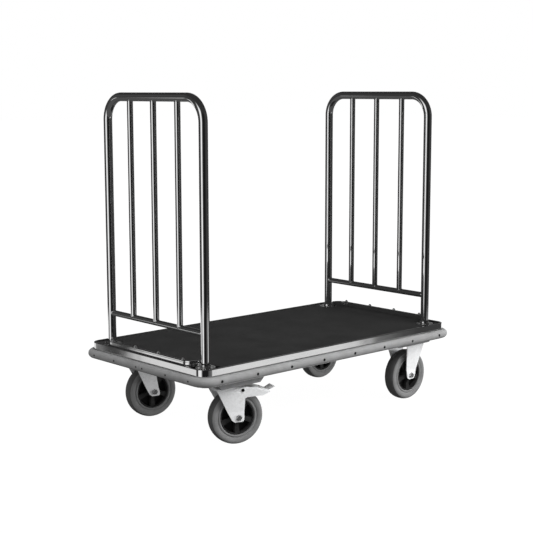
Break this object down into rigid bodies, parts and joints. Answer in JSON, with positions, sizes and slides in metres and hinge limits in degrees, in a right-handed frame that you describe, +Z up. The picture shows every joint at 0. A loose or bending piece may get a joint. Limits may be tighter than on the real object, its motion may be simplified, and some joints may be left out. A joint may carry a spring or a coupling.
{
  "type": "hotel luggage cart",
  "caption": "Hotel luggage cart: carpeted steel deck with a rubber bumper, a barred tube hoop at each end, braked and plain swivel casters and fixed casters.",
  "frame": {"origin": "on the floor under the middle of the deck, at the bottom centre of the bounding box", "axes": "+X along the deck towards the fixed casters, +Y across it to the left-hand side, +Z up"},
  "size_m": [1.33, 0.726, 1.248],
  "materials": {
    "tube_chrome": "mirror-polished bent tube",
    "polished_steel": "polished stainless sheet",
    "bumper_grey": "matt extruded vinyl rubber",
    "carpet_charcoal": "needle-felt carpet",
    "plywood": "plain plywood",
    "zinc_plate": "bright zinc-plated pressings",
    "channel_grey": "satin grey",
    "tyre_grey": "non-marking grey rubber",
    "rim_black": "satin moulded",
    "bearing_steel": "ground steel"
  },
  "bodies": {
    "cart": {"deck_pan": "polished_steel", "deck_board": "plywood", "deck_carpet": "carpet_charcoal", "bumper_strip": "bumper_grey", "cross_channel_rear": "channel_grey", "cross_channel_front": "channel_grey", "end_stop_rear": "polished_steel", "end_stop_front": "polished_steel", "hoop_rear": "tube_chrome", "cross_rail_rear": "tube_chrome", "bar_rear_1": "tube_chrome", "bar_rear_2": "tube_chrome", "bar_rear_3": "tube_chrome", "post_flange_rear_left": "polished_steel", "post_flange_rear_right": "polished_steel", "hoop_front": "tube_chrome", "cross_rail_front": "tube_chrome", "bar_front_1": "tube_chrome", "bar_front_2": "tube_chrome", "bar_front_3": "tube_chrome", "post_flange_front_left": "polished_steel", "post_flange_front_right": "polished_steel", "caster_plate_rear_left": "zinc_plate", "swivel_race_rear_left": "zinc_plate", "kingpin_rear_left": "bearing_steel", "caster_plate_rear_right": "zinc_plate", "swivel_race_rear_right": "zinc_plate", "kingpin_rear_right": "bearing_steel", "caster_plate_front_left": "zinc_plate", "fork_front_left": "zinc_plate", "axle_bolt_front_left": "zinc_plate", "axle_nut_front_left": "zinc_plate", "caster_plate_front_right": "zinc_plate", "fork_front_right": "zinc_plate", "axle_bolt_front_right": "zinc_plate", "axle_nut_front_right": "zinc_plate"},
    "swivel_rear_left": {"fork_rear_left": "zinc_plate", "axle_bolt_rear_left": "zinc_plate", "axle_nut_rear_left": "zinc_plate"},
    "wheel_rear_left": {"tyre_rear_left": "tyre_grey", "wheel_rim_rear_left": "rim_black", "wheel_bearing_rear_left": "bearing_steel"},
    "swivel_rear_right": {"fork_rear_right": "zinc_plate", "axle_bolt_rear_right": "zinc_plate", "axle_nut_rear_right": "zinc_plate", "brake_pin_left": "bearing_steel", "brake_pin_right": "bearing_steel"},
    "wheel_rear_right": {"tyre_rear_right": "tyre_grey", "wheel_rim_rear_right": "rim_black", "wheel_bearing_rear_right": "bearing_steel"},
    "wheel_front_left": {"tyre_front_left": "tyre_grey", "wheel_rim_front_left": "rim_black", "wheel_bearing_front_left": "bearing_steel"},
    "wheel_front_right": {"tyre_front_right": "tyre_grey", "wheel_rim_front_right": "rim_black", "wheel_bearing_front_right": "bearing_steel"},
    "brake_rear_right": {"brake_pedal": "zinc_plate"}
  },
  "joints": [
    {"name": "swivel_rear_left", "type": "hinge", "parent": "cart", "child": "swivel_rear_left", "pos_m": [-0.478, 0.249, 0.2125], "axis": [0, 0, 1], "continuous": true},
    {"name": "swivel_rear_right", "type": "hinge", "parent": "cart", "child": "swivel_rear_right", "pos_m": [-0.478, -0.249, 0.2125], "axis": [0, 0, 1], "continuous": true},
    {"name": "wheel_rear_left", "type": "hinge", "parent": "swivel_rear_left", "child": "wheel_rear_left", "pos_m": [-0.43383, 0.24041, 0.1015], "axis": [0.1908, 0.9816, 0], "continuous": true},
    {"name": "wheel_rear_right", "type": "hinge", "parent": "swivel_rear_right", "child": "wheel_rear_right", "pos_m": [-0.4352, -0.26291, 0.1015], "axis": [0.309, 0.9511, 0], "continuous": true},
    {"name": "wheel_front_left", "type": "hinge", "parent": "cart", "child": "wheel_front_left", "pos_m": [0.497, 0.249, 0.1015], "axis": [0, 1, 0], "continuous": true},
    {"name": "wheel_front_right", "type": "hinge", "parent": "cart", "child": "wheel_front_right", "pos_m": [0.497, -0.249, 0.1015], "axis": [0, 1, 0], "continuous": true},
    {"name": "brake_rear_right", "type": "hinge", "parent": "swivel_rear_right", "child": "brake_rear_right", "pos_m": [-0.42522, -0.26615, 0.2045], "axis": [0.309, 0.9511, 0], "range_deg": [0, 5]}
  ]
}
